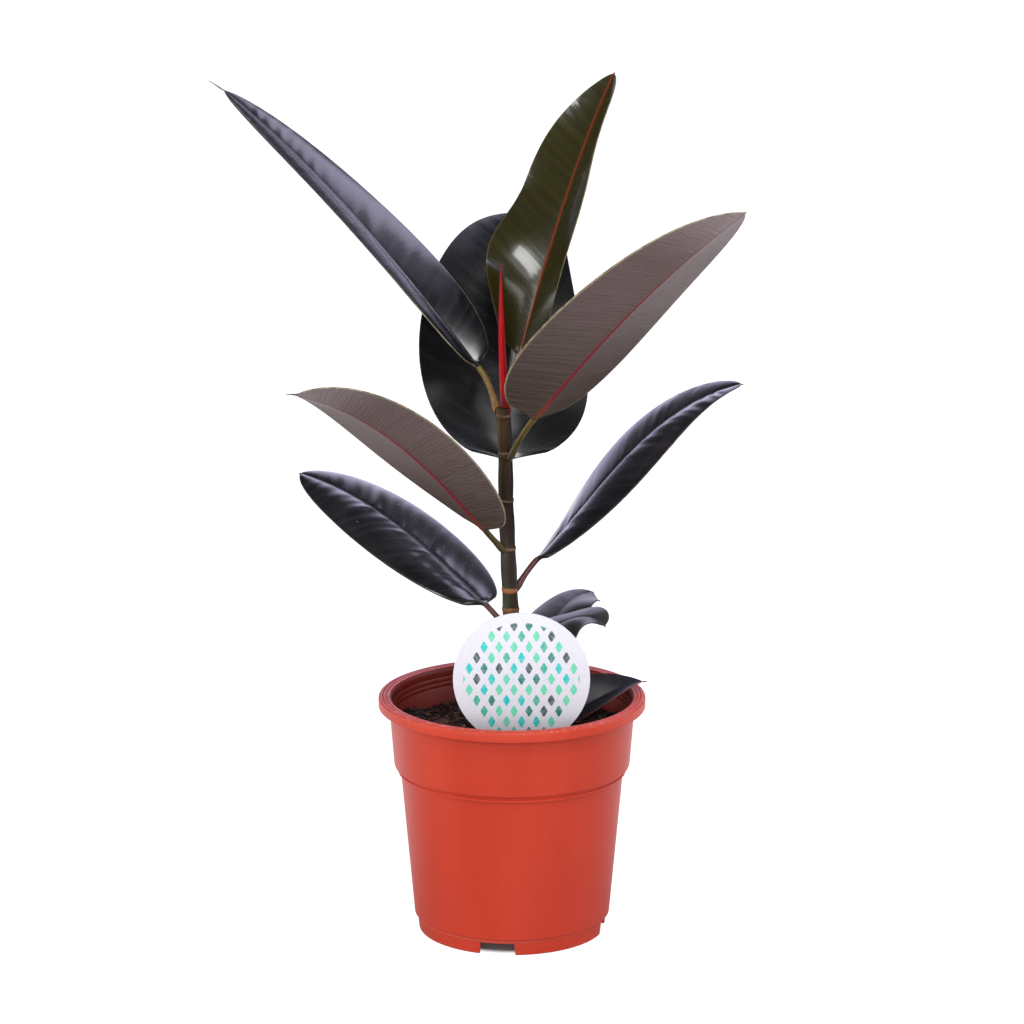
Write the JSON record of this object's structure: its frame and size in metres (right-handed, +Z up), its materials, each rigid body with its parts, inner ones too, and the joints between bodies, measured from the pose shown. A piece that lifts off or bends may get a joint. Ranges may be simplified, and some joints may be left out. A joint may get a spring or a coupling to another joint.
{
  "type": "potted rubber plant",
  "caption": "Young single-stemmed rubber plant with dark leaves and a red bud sheath, in a round plastic nursery pot with potting mix and a plant label.",
  "frame": {"origin": "on the floor that the pot stands on, at the centre of the whole plant's footprint; the pot's axis is at X +15.5 mm, Y +1 mm", "axes": "+Z up along the pot's axis, the front of the pot and the face of the label towards -Y, +X to the right seen from the front"},
  "size_m": [0.2383, 0.1847, 0.3802],
  "materials": {
    "terracotta_plastic": "moulded terracotta-red plastic, satin",
    "potting_mix": "coarse dark bark and peat mix, matte",
    "bark_chips": "brown bark, matte",
    "stem_bark": "grey-green to olive-brown bark with tan leaf scars",
    "red_sheath": "glossy red leaf sheath",
    "leaf_dark": "leathery blue-black upper face, matte mauve-brown underside with a crimson midrib",
    "leaf_green": "glossy young olive-green leaf with an orange-red midrib",
    "label_plastic": "smooth white printed plastic"
  },
  "bodies": {
    "root": {"pot": "terracotta_plastic", "potting_mix": "potting_mix", "bark_chip_1": "bark_chips", "bark_chip_2": "bark_chips", "bark_chip_3": "bark_chips", "bark_chip_4": "bark_chips", "bark_chip_5": "bark_chips", "bark_chip_6": "bark_chips", "bark_chip_7": "bark_chips", "bark_chip_8": "bark_chips", "stem": "stem_bark", "bud_sheath": "red_sheath", "leaf_01": "leaf_dark", "leaf_02": "leaf_green", "leaf_03": "leaf_dark", "leaf_04": "leaf_dark", "leaf_05": "leaf_dark", "leaf_06": "leaf_dark", "leaf_07": "leaf_dark", "leaf_08": "leaf_dark", "leaf_09": "leaf_dark", "leaf_10": "leaf_dark", "plant_label": "label_plastic"}
  },
  "joints": []
}
